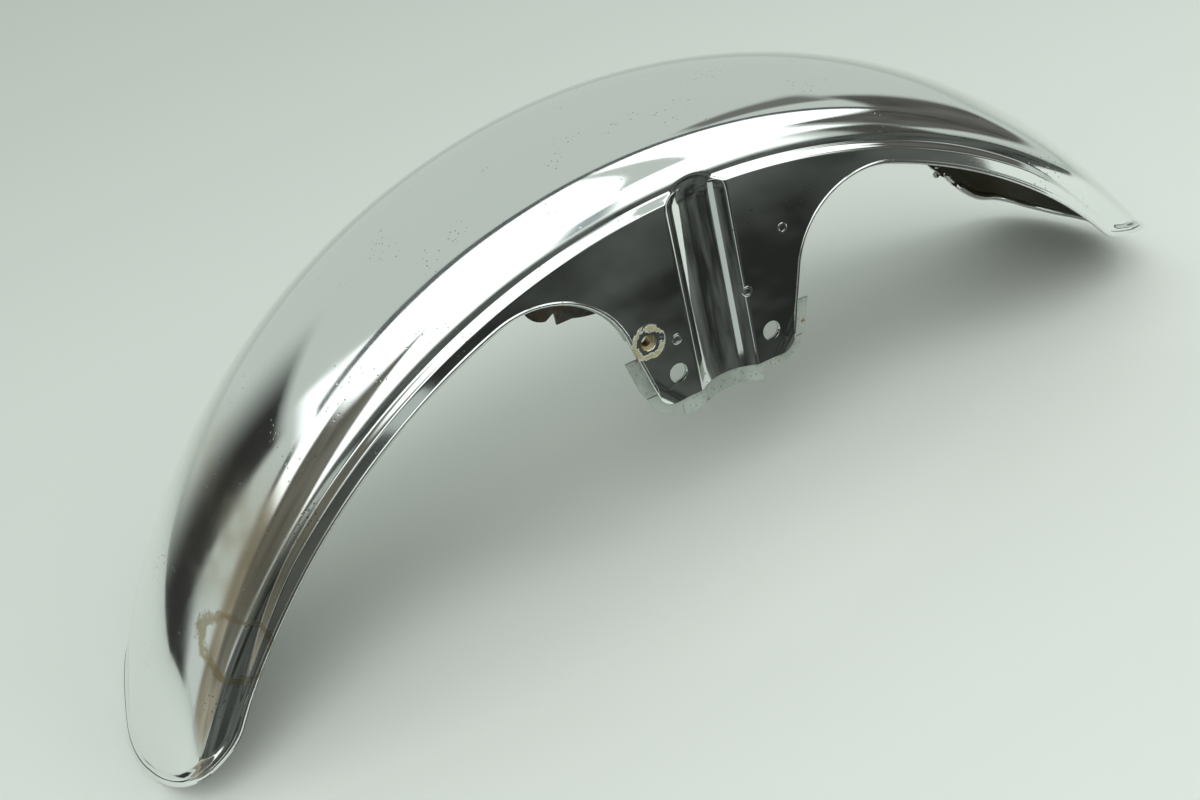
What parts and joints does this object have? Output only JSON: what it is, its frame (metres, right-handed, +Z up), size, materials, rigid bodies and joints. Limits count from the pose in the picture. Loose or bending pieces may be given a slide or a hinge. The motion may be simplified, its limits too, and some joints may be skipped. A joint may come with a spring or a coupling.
{
  "type": "motorcycle front mudguard",
  "caption": "Chrome-plated front mudguard with deep skirts, side bands with a rolled lip, fork plates with half-round recesses, and inner stiffening plates.",
  "frame": {"origin": "midway between the two fork bolts, on the outer face of the right-hand fork plate", "axes": "+X forward, +Z up, +Y towards the left-hand side; the wheel axle runs along Y, 68 mm inboard and 228.6 mm below the origin"},
  "size_m": [0.5877, 0.1378, 0.2154],
  "materials": {
    "chrome_plate": "polished chrome plate, lightly scratched and hazed",
    "dull_steel": "dull grey steel with specks of rust",
    "yellow_zinc": "yellow zinc plate, dulled"
  },
  "bodies": {
    "root": {"mudguard": "chrome_plate", "stiffener_right": "dull_steel", "stiffener_left": "dull_steel", "stay_nut": "yellow_zinc"}
  },
  "joints": []
}
